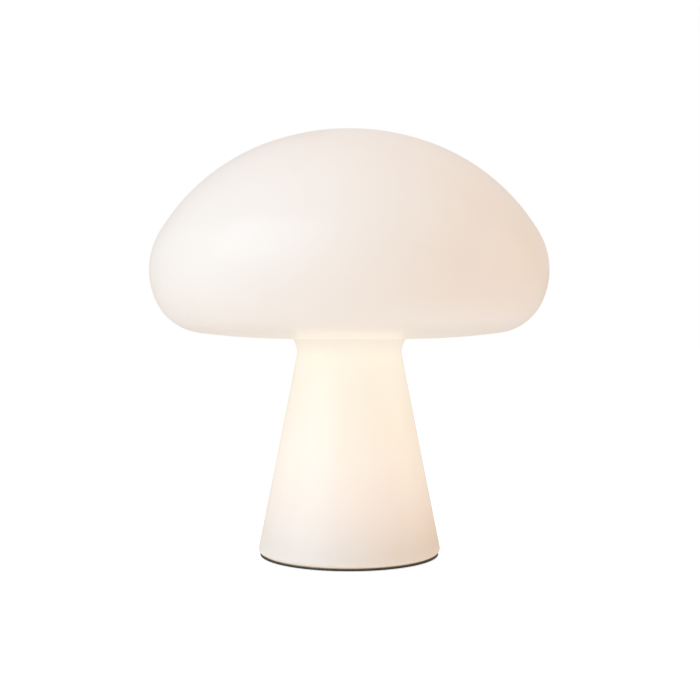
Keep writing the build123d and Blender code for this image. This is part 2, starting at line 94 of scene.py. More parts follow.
def turn(name, points, steps=96, ring=True):
    """Spins an outline about Z. A ring's outline closes on itself; another's two ends lie on the axis."""
    obj = draw_outline(name, points + points[:1] if ring else points)
    bpy.ops.mesh.select_all(action="SELECT")
    bpy.ops.mesh.remove_doubles(threshold=0.001 * MM)
    bpy.ops.mesh.select_all(action="SELECT")
    bpy.ops.mesh.spin(steps=steps, angle=math.tau, center=(0, 0, 0), axis=(0, 0, 1))
    bpy.ops.mesh.select_all(action="SELECT")
    bpy.ops.mesh.remove_doubles(threshold=0.002 * MM)
    bpy.ops.mesh.normals_make_consistent(inside=False)
    bpy.ops.object.mode_set(mode="OBJECT")
    print("turned", name, "with", len(obj.data.polygons), "faces")
    return obj


def smooth(obj, degrees=35):
    """Shades an object smooth, and keeps edges sharper than the angle crisp."""
    deselect_all()
    obj.select_set(True)
    bpy.context.view_layer.objects.active = obj
    bpy.ops.object.shade_smooth_by_angle(angle=math.radians(degrees))


print("an outline is drawn by extruding one vertex, and turned by spin")

# %% [markdown]
# Moulded and pressed parts have no knife-sharp corners. soft_corners takes an outline with a rounding for each
# corner and puts a short curve there. arc_on adds a round stretch that leaves the last point in the direction
# that the outline already runs, so arcs that follow one another join without a kink, as they do in blown glass.

# %% Helpers for round stretches
LONGEST_STEP = 3.2 * MM
WIDEST_STEP = 7.0


def soft_corners(corners, pieces=5):
    """Returns the points of an outline whose (radius, height, rounding) corners are rounded."""
    points = []
    for k, (r, z, rounding) in enumerate(corners):
        here = Vector((r, z))
        if not rounding:
            points.append((r, z))
            continue
        start = here + (Vector(corners[k - 1][:2]) - here).normalized() * rounding
        end = here + (Vector(corners[(k + 1) % len(corners)][:2]) - here).normalized() * rounding
        for t in [j / pieces for j in range(pieces + 1)]:
            p = start * (1 - t) ** 2 + here * 2 * t * (1 - t) + end * t**2
            points.append((p.x, p.y))
    return points


def arc_on(points, heading, radius, degrees):
    """Adds an arc to an outline and returns the new heading. A positive radius curves clockwise, to the table."""
    way = math.copysign(1, radius)
    angle = math.radians(heading)
    centre_r = points[-1][0] - radius * math.sin(angle)
    centre_z = points[-1][1] - radius * math.cos(angle)
    length = abs(radius) * math.radians(degrees)
    steps = max(math.ceil(degrees / WIDEST_STEP), math.ceil(length / LONGEST_STEP))
    for k in range(1, steps + 1):
        a = math.radians(heading + way * degrees * k / steps)
        points.append((centre_r + radius * math.sin(a), centre_z + radius * math.cos(a)))
    return heading + way * degrees


def straight_on(points, end):
    """Adds a straight stretch in steps of a few millimetres, so that the turned faces stay nearly square."""
    start = points[-1]
    steps = max(1, math.ceil(math.dist(start, end) / (2 * LONGEST_STEP)))
    for k in range(1, steps + 1):
        t = k / steps
        points.append((start[0] + (end[0] - start[0]) * t, start[1] + (end[1] - start[1]) * t))


print("arcs are cut every", WIDEST_STEP, "degrees or", LONGEST_STEP / MM, "mm")

# %% [markdown]
# ## The glass
#
# The cap is not a half ball: it is flatter on the crown, fuller at the rim and almost level underneath. It turns
# a tight corner at the neck, and a long hollow curve leads from there into the straight, flared stem. Seven arcs
# and one straight line say all of that.
#
# The same chain, moved inwards by the wall, gives the inside, so the glass is as thick everywhere, and the foot
# is turned in to a rounded lip. The exact part is a fine net of triangles already, but a turned surface of even
# squares catches the light more smoothly, which matters on a plain white body.

# %% Outline of the glass
shade_low, shade_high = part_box("glass_shade")
top = shade_high.z
foot = shade_low.z
wall = 2.8 * MM
neck_radius = 29.3 * MM
neck_corner = 1.5 * MM
neck_corner_turn = 60.0
neck_sweep = 13.0 * MM
stem_flare = 11.18
foot_rounding = 2.2 * MM
inner_foot_rounding = 0.6 * MM
lip_width = 6.0 * MM


def shade_side(inset):
    """One side of the glass, from the apex to the flat of the foot, moved inwards by inset."""
    points = [(0.0, top - inset)]
    heading = 0.0
    for radius, degrees in ((131.2, 21.7), (113.4, 38.1), (40.1, 57.7), (28.9, 54.9)):
        heading = arc_on(points, heading, radius * MM - inset, degrees)
    corner_share = math.sin(math.radians(neck_corner_turn))
    underside_end = neck_radius + neck_corner * corner_share + neck_sweep * (1 - corner_share)
    underside_run = points[-1][0] - underside_end
    level = 180 - heading
    heading = arc_on(points, heading, underside_run / math.sin(math.radians(level)), level)
    heading = arc_on(points, heading, -(neck_corner + inset), neck_corner_turn)
    heading = arc_on(points, heading, -(neck_sweep + inset), 90 - neck_corner_turn + stem_flare)
    rounding = max(foot_rounding - inset, inner_foot_rounding)
    foot_start = foot + inset + rounding * (1 + math.sin(math.radians(stem_flare)))
    drop = points[-1][1] - foot_start
    straight_on(points, (points[-1][0] + drop * math.tan(math.radians(stem_flare)), foot_start))
    arc_on(points, heading, rounding, 90 + stem_flare)
    return points


def shade_outline():
    """The whole section of the glass, from the apex down the outside, round the lip and up the inside."""
    outside, inside = shade_side(0), shade_side(wall)
    lip_centre = outside[-1][0] - lip_width + wall / 2
    lip = [(lip_centre, foot)]
    arc_on(lip, 180, wall / 2, 180)
    return outside + lip + inside[::-1]


glass = turn("glass_shell", shade_outline(), steps=168, ring=False)
print("glass:", len(glass.data.vertices), "vertices, wall", wall / MM, "mm")

# %% [markdown]
# ### The notch for the cord
#
# The cord leaves the lamp at the back of the foot, through a notch that is ground into the rim: round at the top
# and open at the bottom, so the glass can be lifted off while the cord stays. A cylinder that lies along Y is
# pulled down by its lower half, which makes an upside-down U, and is cut out of the glass.

# %% Grind the notch
bush_low, bush_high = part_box("cord_bush")
bush_height = (bush_low.z + bush_high.z) / 2
bush_body = 4.0 * MM
notch_half = bush_body + 0.3 * MM
notch_start = 38 * MM
notch_end = 54 * MM


def notch_cutter(half, start, end):
    """An upside-down U along Y, for cutting the cord's notch."""
    deselect_all()
    bpy.ops.mesh.primitive_cylinder_add(
        vertices=48, radius=half, depth=end - start, location=(0, (start + end) / 2, bush_height),
        rotation=(math.pi / 2, 0, 0),
    )
    cutter = bpy.context.object
    bpy.ops.object.transform_apply(location=True, rotation=True, scale=True)
    bpy.ops.object.mode_set(mode="EDIT")
    bpy.ops.mesh.select_all(action="DESELECT")
    mesh = bmesh.from_edit_mesh(cutter.data)
    for vertex in mesh.verts:
        vertex.select = vertex.co.z < bush_height - half / 10
    mesh.select_flush_mode()
    bmesh.update_edit_mesh(cutter.data)
    bpy.ops.transform.translate(value=(0, 0, -2 * bush_height))
    bpy.ops.object.mode_set(mode="OBJECT")
    return cutter


def cut(obj, cutter):
    """Takes a cutter away from an object with a boolean modifier, and deletes the cutter."""
    deselect_all()
    obj.select_set(True)
    bpy.context.view_layer.objects.active = obj
    boolean = obj.modifiers.new("cut", "BOOLEAN")
    boolean.operation = "DIFFERENCE"
    boolean.solver = "EXACT"
    boolean.object = cutter
    bpy.ops.object.modifier_apply(modifier=boolean.name)
    bpy.data.objects.remove(cutter)


cut(glass, notch_cutter(notch_half, notch_start, notch_end))
smooth(glass, 40)
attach(glass, "glass")
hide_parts("glass_shade")
print("notch:", 2 * notch_half / MM, "mm wide, glass now", len(glass.data.polygons), "faces")

# %% [markdown]
# ## The felt under the base
#
# A disc of pressed felt keeps the steel off the table. Felt is cut with a die, so its edge is a little crushed
# and rounded. A turned disc with soft corners is enough, and the fibres come with its material.

# %% Felt disc
felt_low, felt_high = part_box("felt_pad")


def felt_outline():
    """Half a section of the felt disc, from the axis underneath to the axis on top."""
    r, low, high = felt_high.x, felt_low.z, felt_high.z
    edge = soft_corners([(r, low, 0.45 * MM), (r, high, 0.3 * MM)])
    rings = [(r * share, low) for share in (0.0, 0.25, 0.5, 0.75, 0.9)]
    back = [(r * share, high) for share in (0.9, 0.75, 0.5, 0.25, 0.0)]
    return rings + edge + back


felt = turn("felt_disc", felt_outline(), steps=96, ring=False)
smooth(felt)
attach(felt, "base")
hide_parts("felt_pad")
print("felt disc:", round(2 * felt_high.x / MM, 1), "mm across")

# %% [markdown]
# ## The cord bush
#
# A moulded rubber bush guards the cord where it passes the steel tab and the glass. It has three flanges: two
# grip the tab and one covers the notch from outside. The outline is turned about Z, and then the piece is tipped
# over to lie along Y. In a script with no window a rotation turns the other way, so the piece's reach along Y is
# printed: the outer flange has to end up at the back.

# %% Cord bush
cord_hole = 3.1 * MM
flange = 5.5 * MM
flange_thick = 2.0 * MM
tab_thick = 0.8 * MM
tab_back = bush_low.y + flange_thick
tab_front = tab_back + tab_thick
outer_flange = bush_high.y - flange_thick


def bush_outline():
    """The bush's section, with its length measured along the cord instead of up."""
    soft = 0.5 * MM
    return soft_corners([
        (cord_hole, bush_low.y, 0.4 * MM), (flange, bush_low.y, soft), (flange, tab_back, soft),
        (bush_body, tab_back, 0), (bush_body, tab_front, 0), (flange, tab_front, soft),
        (flange, tab_front + flange_thick, soft), (bush_body, tab_front + flange_thick, 0.2 * MM),
        (bush_body, outer_flange, 0.2 * MM), (flange, outer_flange, soft), (flange, bush_high.y, soft),
        (cord_hole, bush_high.y, 0.7 * MM),
    ])


def lay_along_y(obj, height):
    """Tips a piece that was turned about Z over, so that up becomes back, and lifts it to a height."""
    deselect_all()
    obj.select_set(True)
    bpy.context.view_layer.objects.active = obj
    obj.rotation_euler = (-math.pi / 2, 0, 0)
    obj.location = (0, 0, height)
    bpy.ops.object.transform_apply(location=True, rotation=True, scale=True)


bush = turn("cord_bush_moulding", bush_outline(), steps=64)
lay_along_y(bush, bush_height)
smooth(bush)
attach(bush, "base")
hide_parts("cord_bush")
print("bush reaches from y =", round(min(v.co.y for v in bush.data.vertices) / MM, 2),
      "to", round(max(v.co.y for v in bush.data.vertices) / MM, 2), "mm")

# %% [markdown]
# ## The lampholder
#
# The holder's casing is two moulded shells. The lower one is a dome on the threaded tube. The upper one is a
# long skirt that hides the screw shell; its foot has ribs for the fingers that screw it on. The ribs are made
# after turning: every second pair of columns in a band is selected and pushed in.

# %% Lower shell of the lampholder
dome_low, dome_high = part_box("holder_dome")
casing = dome_high.x
casing_wall = 1.6 * MM
boss = 8.4 * MM
tube_radius = 5.05 * MM
shoulder_rise = 7.7 * MM
sleeve_rise = 7.0 * MM


def dome_outline():
    """Section of the lower shell, from its bore, out over the round shoulder, and back down the inside."""
    low, high = dome_low.z, dome_high.z
    shoulder = low + shoulder_rise
    return soft_corners([
        (tube_radius, low, 0.2 * MM), (boss, low, 0.5 * MM), (boss, low + casing_wall, 0.3 * MM),
        (casing - 0.2 * MM, low + 3.4 * MM, 2.6 * MM), (casing, shoulder, 0.5 * MM), (casing, high, 0.25 * MM),
        (casing - casing_wall, high, 0.1 * MM), (casing - casing_wall, shoulder, 0.3 * MM),
        (tube_radius + casing_wall, shoulder, 0.3 * MM), (tube_radius + casing_wall, low + sleeve_rise, 0.1 * MM),
        (tube_radius, low + sleeve_rise, 0.1 * MM),
    ])


holder_lower = turn("holder_lower_shell", dome_outline(), steps=96)
smooth(holder_lower)
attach(holder_lower, "base")
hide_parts("holder_dome")
print("lower shell:", round(2 * casing / MM, 1), "mm across")

# %% Upper shell of the lampholder
skirt_low, skirt_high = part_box("holder_skirt")
skirt_mouth = 9.4 * MM
rib_band = (skirt_low.z + 1.5 * MM, skirt_low.z + 11.5 * MM)
rib_depth = 0.45 * MM
skirt_columns = 96


def skirt_outline():
    """Section of the upper shell, up the ribbed band and the tapered wall, over the rim and down inside."""
    low, high = skirt_low.z, skirt_high.z
    inner = casing - casing_wall
    return soft_corners([
        (casing, low, 0.25 * MM), (casing, rib_band[0], 0), (casing, rib_band[1], 0.2 * MM),
        (casing - 0.35 * MM, rib_band[1] + 0.4 * MM, 0.2 * MM), (casing - 0.8 * MM, high, 0.7 * MM),
        (skirt_mouth, high, 0.4 * MM), (skirt_mouth, high - casing_wall, 0.3 * MM),
        (inner - 0.8 * MM, high - casing_wall, 0.4 * MM), (inner, low, 0.1 * MM),
    ])


def push_in_ribs(obj):
    """Pushes every second pair of columns of the band inwards, which leaves ribs between them."""
    deselect_all()
    bpy.context.view_layer.objects.active = obj
    bpy.ops.object.mode_set(mode="EDIT")
    bpy.ops.mesh.select_mode(type="FACE")
    bpy.ops.mesh.select_all(action="DESELECT")
    mesh = bmesh.from_edit_mesh(obj.data)
    for face in mesh.faces:
        middle = face.calc_center_median()
        column = int((math.atan2(middle.y, middle.x) % math.tau) / math.tau * skirt_columns)
        in_band = rib_band[0] < middle.z < rib_band[1] and math.hypot(middle.x, middle.y) > casing - 0.3 * MM
        face.select = in_band and column % 4 < 2
    bmesh.update_edit_mesh(obj.data)
    bpy.ops.mesh.extrude_region_shrink_fatten(TRANSFORM_OT_shrink_fatten={"value": -rib_depth})
    bpy.ops.object.mode_set(mode="OBJECT")


holder_upper = turn("holder_upper_shell", skirt_outline(), steps=skirt_columns)
push_in_ribs(holder_upper)
smooth(holder_upper)
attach(holder_upper, "base")
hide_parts("holder_skirt")
print("upper shell:", skirt_columns // 4, "ribs")

# %% [markdown]
# ## The threaded tube
#
# The tube that carries the lampholder has a thread from end to end. Its turns are so fine that rings look the
# same as a true helix, and rings can be turned with everything else: the outline climbs in a row of small peaks.

# %% Threaded tube
tube_low, tube_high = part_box("nipple")
tube_bore = 3.7 * MM
thread_step = 1.0 * MM
thread_depth = 0.45 * MM


def threaded_tube_outline():
    """Section of the tube: peaks and valleys up the outside, then straight down the bore."""
    outer = tube_high.x
    points = [(tube_bore, tube_low.z), (outer - thread_depth, tube_low.z)]
    turns = int((tube_high.z - tube_low.z) / thread_step)
    for k in range(turns):
        start = tube_low.z + k * thread_step
        points.append((outer, start + 0.45 * thread_step))
        points.append((outer, start + 0.6 * thread_step))
        points.append((outer - thread_depth, start + thread_step))
    points.append((outer - thread_depth, tube_high.z))
    points.append((tube_bore, tube_high.z))
    return points


tube = turn("threaded_tube", threaded_tube_outline(), steps=48)
smooth(tube, 25)
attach(tube, "base")
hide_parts("nipple")
print("threaded tube:", round((tube_high.z - tube_low.z) / MM, 1), "mm long")

# %% [markdown]
# ## The bulb
#
# A small LED bulb has an opal globe on a white collar. Both show when the glass is lifted off, and both are
# smooth plastic, so they are turned anew with fine steps. The collar has the shallow groove where the globe is
# welded to it. The screw cap keeps its exact thread, and gets what a real one has: a ring of punch marks that
# holds it to the collar.

# %% Globe
globe_low, globe_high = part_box("bulb_globe")
globe_radius = globe_high.x
globe_middle = globe_high.z - globe_radius
globe_wall = 1.2 * MM


def globe_outline():
    """Section of the globe: down the outside from the top to the cut, and back up the inside."""
    points = [(0.0, globe_high.z)]
    depth = globe_middle - globe_low.z
    arc_on(points, 0, globe_radius, 90 + math.degrees(math.asin(depth / globe_radius)))
    inner_radius = globe_radius - globe_wall
    inner = [(0.0, globe_middle + inner_radius)]
    arc_on(inner, 0, inner_radius, 90 + math.degrees(math.asin(depth / inner_radius)))
    return points + inner[::-1]


globe = turn("bulb_globe_shell", globe_outline(), steps=128, ring=False)
smooth(globe)
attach(globe, "bulb")
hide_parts("bulb_globe")
print("globe:", round(2 * globe_radius / MM, 1), "mm across")

# %% Collar
collar_low, collar_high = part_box("bulb_collar")
cap_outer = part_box("bulb_cap")[1].x
board_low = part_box("led_board")[0].z
board_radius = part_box("led_board")[1].x
collar_wall = 1.5 * MM
flare_bulge = 0.75 * MM
flare_pieces = 12
groove_depth = 0.35 * MM


def collar_outline():
    """Section of the collar: up the flared outside, a groove under the globe, and down past the board's ledge."""
    low, high = collar_low.z, collar_high.z
    bore, mouth = cap_outer + 0.05 * MM, collar_high.x
    foot_radius = bore + collar_wall
    flare = []
    for k in range(1, flare_pieces):
        t = k / flare_pieces
        bulge = flare_bulge * math.sin(math.pi * t)
        flare.append((foot_radius + (mouth - foot_radius) * t + bulge, low + (high - low) * t, 0))
    groove = [(mouth, high - 0.9 * MM, 0), (mouth - groove_depth, high - 0.6 * MM, 0.1 * MM),
              (mouth - groove_depth, high - 0.3 * MM, 0.1 * MM), (mouth, high, 0)]
    return soft_corners([
        (bore, low, 0.2 * MM), (foot_radius, low, 0.5 * MM), *flare[:-1], *groove,
        (board_radius + 0.1 * MM, high, 0), (board_radius + 0.1 * MM, board_low, 0),
        (board_radius - 1.2 * MM, board_low, 0.1 * MM), (bore, low + 3.0 * MM, 0.5 * MM),
    ])


collar = turn("bulb_collar_shell", collar_outline(), steps=96)
smooth(collar)
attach(collar, "bulb")
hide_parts("bulb_collar")
print("collar:", round((collar_high.z - collar_low.z) / MM, 1), "mm high")

# %% Punch marks on the screw cap
cap_low, cap_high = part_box("bulb_cap")
mark_count = 12
mark_level = cap_high.z - 2.9 * MM


def low_bead(name, radius, height, subdivisions=2):
    """A round bead flattened to a height along X, and left at the origin."""
    deselect_all()
    bpy.ops.mesh.primitive_ico_sphere_add(subdivisions=subdivisions, radius=radius)
    bead = bpy.context.object
    bead.name = name
    bpy.ops.object.mode_set(mode="EDIT")
    bpy.ops.mesh.select_all(action="SELECT")
    bpy.ops.transform.resize(value=(height / radius, 1, 1))
    bpy.ops.mesh.select_all(action="DESELECT")
    mesh = bmesh.from_edit_mesh(bead.data)
    for face in mesh.faces:
        face.select = face.normal.x > 0.9
    bmesh.update_edit_mesh(bead.data)
    bpy.ops.mesh.inset(thickness=radius * 0.12, depth=-height * 0.35)
    bpy.ops.object.mode_set(mode="OBJECT")
    return bead


def ring_of(bead, count, radius, height):
    """Copies a bead round the axis at a radius and a height, and joins the copies into one piece."""
    name = bead.name
    copies = []
    for k in range(count):
        angle = math.tau * k / count
        copy = bead.copy()
        copy.data = bead.data.copy()
        bpy.context.scene.collection.objects.link(copy)
        copy.rotation_euler = (0, 0, angle)
        copy.location = (radius * math.cos(angle), radius * math.sin(angle), height)
        copies.append(copy)
    bpy.data.objects.remove(bead)
    deselect_all()
    for copy in copies:
        copy.select_set(True)
    bpy.context.view_layer.objects.active = copies[0]
    bpy.ops.object.join()
    ring = bpy.context.object
    ring.name = name
    bpy.ops.object.transform_apply(location=True, rotation=True, scale=True)
    return ring


punch_marks = ring_of(low_bead("cap_punch_marks", 0.55 * MM, 0.2 * MM), mark_count, cap_high.x, mark_level)
smooth(punch_marks, 60)
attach(punch_marks, "bulb")
print("cap:", mark_count, "punch marks")

# %% [markdown]
# ## Effects that several finishes share
#
# No real surface has one roughness or one colour. Most finishes here need the same two things: a fine grain with
# larger, softer patches, and a mask of the worn edges. Each is a node group with named inputs, made once, and
# every material places it with its own values. The groups read Object coordinates, so the pattern stays on the
# piece when it moves. The edge mask compares the true normal with one that is softened across nearby edges:
# where they differ, there is an edge.

# %% Group: surface grain
def new_group(name, inputs, outputs):
    """A shader node group with the given (name, kind, value) inputs and (name, kind) outputs."""
    group = bpy.data.node_groups.new(name, "ShaderNodeTree")
    for label, kind, value in inputs:
        socket = group.interface.new_socket(label, in_out="INPUT", socket_type=kind)
        socket.default_value = value
    for label, kind in outputs:
        group.interface.new_socket(label, in_out="OUTPUT", socket_type=kind)
    return group


def place(tree, kind, settings=None, **inputs):
    """Adds a node, sets its properties and its inputs by name, and links the inputs that are sockets."""
    node = tree.nodes.new(kind)
    for label, value in (settings or {}).items():
        setattr(node, label, value)
    for label, value in inputs.items():
        socket = node.inputs[label.replace("_", " ")]
        if isinstance(value, bpy.types.NodeSocket):
            tree.links.new(value, socket)
        else:
            socket.default_value = value
    return node


def calculate(tree, operation, a, b=0.5):
    """A Math node with two inputs, each a number or a socket. It returns the result's socket."""
    node = tree.nodes.new("ShaderNodeMath")
    node.operation = operation
    for socket, value in zip(node.inputs, (a, b)):
        if isinstance(value, bpy.types.NodeSocket):
            tree.links.new(value, socket)
        else:
            socket.default_value = value
    return node.outputs[0]


def grain_group():
    """Grain and patches from two noises. Stretch lengthens the grain, as rolling and brushing do."""
    group = new_group(
        "surface_grain",
        [("Grain Size", "NodeSocketFloat", 0.5), ("Patch Size", "NodeSocketFloat", 8.0),
         ("Stretch", "NodeSocketVector", (1, 1, 1))],
        [("Grain", "NodeSocketFloat"), ("Patches", "NodeSocketFloat")],
    )
    given = group.nodes.new("NodeGroupInput")
    result = group.nodes.new("NodeGroupOutput")
    where = group.nodes.new("ShaderNodeTexCoord").outputs["Object"]
    drawn = place(group, "ShaderNodeVectorMath", {"operation": "DIVIDE"})
    group.links.new(where, drawn.inputs[0])
    group.links.new(given.outputs["Stretch"], drawn.inputs[1])
    fine = calculate(group, "DIVIDE", 1000.0, given.outputs["Grain Size"])
    broad = calculate(group, "DIVIDE", 1000.0, given.outputs["Patch Size"])
    grain = place(group, "ShaderNodeTexNoise", Vector=drawn.outputs[0], Scale=fine, Detail=4.0)
    patches = place(group, "ShaderNodeTexNoise", Vector=where, Scale=broad, Detail=3.0)
    group.links.new(grain.outputs[0], result.inputs["Grain"])
    group.links.new(patches.outputs[0], result.inputs["Patches"])
    return group


surface_grain = grain_group()
print("group:", surface_grain.name, "has", len(surface_grain.nodes), "nodes")

# %% Group: edge wear
def edge_wear_group():
    """A mask that is 1 on exposed edges and 0 on flats, broken up by a noise so that wear isn't a neat line."""
    group = new_group(
        "edge_wear",
        [("Width", "NodeSocketFloat", 0.3), ("Amount", "NodeSocketFloat", 1.0),
         ("Break Up", "NodeSocketFloat", 2.0)],
        [("Mask", "NodeSocketFloat")],
    )
    given = group.nodes.new("NodeGroupInput")
    result = group.nodes.new("NodeGroupOutput")
    width = calculate(group, "MULTIPLY", given.outputs["Width"], MM)
    softened = place(group, "ShaderNodeBevel", {"samples": 6}, Radius=width)
    true_normal = group.nodes.new("ShaderNodeNewGeometry").outputs["Normal"]
    compare = place(group, "ShaderNodeVectorMath", {"operation": "DOT_PRODUCT"})
    group.links.new(softened.outputs[0], compare.inputs[0])
    group.links.new(true_normal, compare.inputs[1])
    edge = calculate(group, "SUBTRACT", 1.0, compare.outputs["Value"])
    where = group.nodes.new("ShaderNodeTexCoord").outputs["Object"]
    scale = calculate(group, "DIVIDE", 1000.0, given.outputs["Break Up"])
    spots = place(group, "ShaderNodeTexNoise", Vector=where, Scale=scale, Detail=5.0)
    broken = calculate(group, "MULTIPLY", edge, spots.outputs[0])
    strong = calculate(group, "MULTIPLY", broken, calculate(group, "MULTIPLY", given.outputs["Amount"], 12.0))
    mask = place(group, "ShaderNodeClamp", Value=strong)
    group.links.new(mask.outputs[0], result.inputs["Mask"])
    return group


edge_wear = edge_wear_group()
print("group:", edge_wear.name, "has", len(edge_wear.nodes), "nodes")

# %% [markdown]
# ## A finish in one call
#
# Most small parts differ only in a few things: two close colours that the patches blend between, a range of
# roughness that the grain moves through, and how deep the grain is. finish builds such a material. What is the
# same all over, such as a metal's Metallic, is set on the shader itself.

# %% Material helper
def new_material(name):
    """An empty material with its Principled shader, and the name its slot goes by."""
    material = bpy.data.materials.new(name)
    material.use_nodes = True
    return material, material.node_tree, material.node_tree.nodes["Principled BSDF"]


def add_grain(tree, size, patch, stretch=(1, 1, 1)):
    """Places the grain group and returns its two outputs."""
    node = tree.nodes.new("ShaderNodeGroup")
    node.node_tree = surface_grain
    node.inputs["Grain Size"].default_value = size
    node.inputs["Patch Size"].default_value = patch
    node.inputs["Stretch"].default_value = stretch
    return node.outputs["Grain"], node.outputs["Patches"]


def add_wear(tree, width, amount, break_up=2.0):
    """Places the edge wear group and returns its mask."""
    node = tree.nodes.new("ShaderNodeGroup")
    node.node_tree = edge_wear
    node.inputs["Width"].default_value = width
    node.inputs["Amount"].default_value = amount
    node.inputs["Break Up"].default_value = break_up
    return node.outputs["Mask"]


def spread(tree, value, low, high):
    """Maps the middle of a noise, which rarely leaves 0.3 to 0.7, to a range."""
    node = place(tree, "ShaderNodeMapRange", Value=value, From_Min=0.3, From_Max=0.7, To_Min=low, To_Max=high)
    return node.outputs[0]


def blend_colors(tree, mask, first, second):
    """A Mix node between two colours or colour sockets. It returns the colour's socket."""
    node = tree.nodes.new("ShaderNodeMix")
    node.data_type = "RGBA"
    tree.links.new(mask, node.inputs[0])
    for socket, value in ((node.inputs[6], first), (node.inputs[7], second)):
        if isinstance(value, bpy.types.NodeSocket):
            tree.links.new(value, socket)
        else:
            socket.default_value = (*value, 1.0)
    return node.outputs[2]


def roughen(tree, shader, height, depth):
    """Feeds a height, in millimetres at full strength, to the shader's normal."""
    bump = place(tree, "ShaderNodeBump", Strength=1.0, Distance=depth * MM, Height=height)
    tree.links.new(bump.outputs[0], shader.inputs["Normal"])


def finish(name, colors, roughness, depth, size=0.5, patch=8.0, stretch=(1, 1, 1), metallic=0.0, worn=None):
    """A material with two blended colours, a roughness range, a grain depth and, if given, a worn edge colour."""
    material, tree, shader = new_material(name)
    grain, patches = add_grain(tree, size, patch, stretch)
    color = blend_colors(tree, spread(tree, patches, 0, 1), *colors)
    if worn:
        color = blend_colors(tree, add_wear(tree, 0.35, 1.0), color, worn)
    tree.links.new(color, shader.inputs["Base Color"])
    tree.links.new(spread(tree, grain, *roughness), shader.inputs["Roughness"])
    roughen(tree, shader, grain, depth)
    shader.inputs["Metallic"].default_value = metallic
    return material


print("finish makes a material from two colours, a roughness range and a grain")

# %% [markdown]
# ## The opal glass
#
# Opal glass scatters light inside its wall, and its skin is etched to a satin. Lit from inside, it glows most
# where the wall is close to the bulb. Following light through real glass is slow and noisy, so the glow is made
# as a colour that the glass gives off, which changes with height: strong and warm round the bulb, softer in the
# wide cap, weakest low on the stem, below the bulb. On the rounding of the foot it is raised again: painted
# light, which lifts the rounding that turns down into shade.
#
# The fine particles in the glass throw blue light back and let the warmer light through. So the lit glass glows
# amber, and the daylight that it returns is a little blue. A second set of heights darkens the base colour round
# the stem: painted shade, which holds back the room's light there.
#
# along_height turns such a set into a colour. Its ramp runs through the stops as a smooth curve, because straight
# stretches between them would show as bands on a surface this plain. The etched skin is a thin, blurred coat: it
# hides some of the glow where the glass turns away from the eye, which draws the thin grey rim. It has a very
# fine grain, and slow, shallow waves from blowing.

# %% Opal glass
# The glass's glow by height. Its lowest stop, on the foot's rounding, is painted light that lifts the rounding
# out of its shade.
glow_and_painted_foot_light_by_height = [
    (0.006, (0.56, 0.34, 0.20)), (0.02, (0.40, 0.17, 0.02)), (0.07, (0.53, 0.275, 0.12)),
    (0.13, (0.665, 0.42, 0.265)), (0.20, (0.765, 0.555, 0.395)), (0.30, (0.785, 0.585, 0.405)),
    (0.42, (0.73, 0.58, 0.42)), (0.49, (0.76, 0.60, 0.44)), (0.515, (0.66, 0.50, 0.36)),
    (0.53, (0.59, 0.40, 0.285)), (0.55, (0.60, 0.40, 0.27)), (0.60, (0.60, 0.365, 0.215)),
    (0.68, (0.585, 0.345, 0.19)), (0.79, (0.575, 0.34, 0.19)), (1.00, (0.62, 0.39, 0.25)),
]
# Painted shade: the base colour is darkened round the stem, so that it takes less of the room's light.
painted_shade_by_height = [
    (0.05, (1.0, 1.0, 1.0)), (0.12, (0.80, 0.80, 0.80)), (0.20, (0.60, 0.60, 0.60)),
    (0.50, (0.60, 0.60, 0.60)), (0.525, (0.80, 0.80, 0.80)), (0.55, (1.0, 1.0, 1.0)),
]


def along_height(tree, levels):
    """A colour that follows the height of the lamp. The levels are (share of the height, colour)."""
    where = tree.nodes.new("ShaderNodeTexCoord").outputs["Object"]
    height = place(tree, "ShaderNodeSeparateXYZ", Vector=where).outputs["Z"]
    ramp = tree.nodes.new("ShaderNodeValToRGB")
    ramp.color_ramp.interpolation = "B_SPLINE"
    stops = ramp.color_ramp.elements
    while len(stops) < len(levels):
        stops.new(0.5)
    for stop, (position, color) in zip(stops, levels):
        stop.position = position
        stop.color = (*color, 1.0)
    tree.links.new(calculate(tree, "DIVIDE", height, top), ramp.inputs[0])
    return ramp.outputs[0]


def opal_glass_material():
    """Satin white glass, its glow following the height, with painted light on the foot and painted shade on the
    stem.
    """
    material, tree, shader = new_material("satin_opal_glass")
    grain, patches = add_grain(tree, 0.25, 45.0)
    cloud = blend_colors(tree, spread(tree, patches, 0, 1), (0.64, 0.79, 0.86), (0.67, 0.81, 0.88))
    white = tree.nodes.new("ShaderNodeMix")
    white.data_type = "RGBA"
    white.blend_type = "MULTIPLY"
    white.inputs[0].default_value = 1.0
    tree.links.new(cloud, white.inputs[6])
    # The base colour is multiplied by the painted shade along the height.
    tree.links.new(along_height(tree, painted_shade_by_height), white.inputs[7])
    tree.links.new(white.outputs[2], shader.inputs["Base Color"])
    tree.links.new(along_height(tree, glow_and_painted_foot_light_by_height), shader.inputs["Emission Color"])
    tree.links.new(spread(tree, grain, 0.58, 0.70), shader.inputs["Roughness"])
    waves = calculate(tree, "MULTIPLY_ADD", patches, 1.0)
    tree.links.new(calculate(tree, "MULTIPLY", grain, 0.02), waves.node.inputs[2])
    roughen(tree, shader, waves, 0.25)
    shader.inputs["Emission Strength"].default_value = 1.0
    shader.inputs["IOR"].default_value = 1.52
    shader.inputs["Coat Weight"].default_value = 0.35
    shader.inputs["Coat Roughness"].default_value = 0.2
    return material


opal_glass = opal_glass_material()
print("opal glass: glow in", len(opal_glass.node_tree.nodes), "nodes")

# %% [markdown]
# ## Steel, felt, rubber and plastic
#
# The base is powder coated: nearly black, with the pebbled skin that powder leaves, and brighter metal where the
# rim has been rubbed. Zinc plating is mottled, rolled spring steel has fine lines along the strip, and moulded
# plastic is almost even. Felt is short fibres that lie every way, so it has two noises at different sizes, one
# of them stretched and bent by the other.

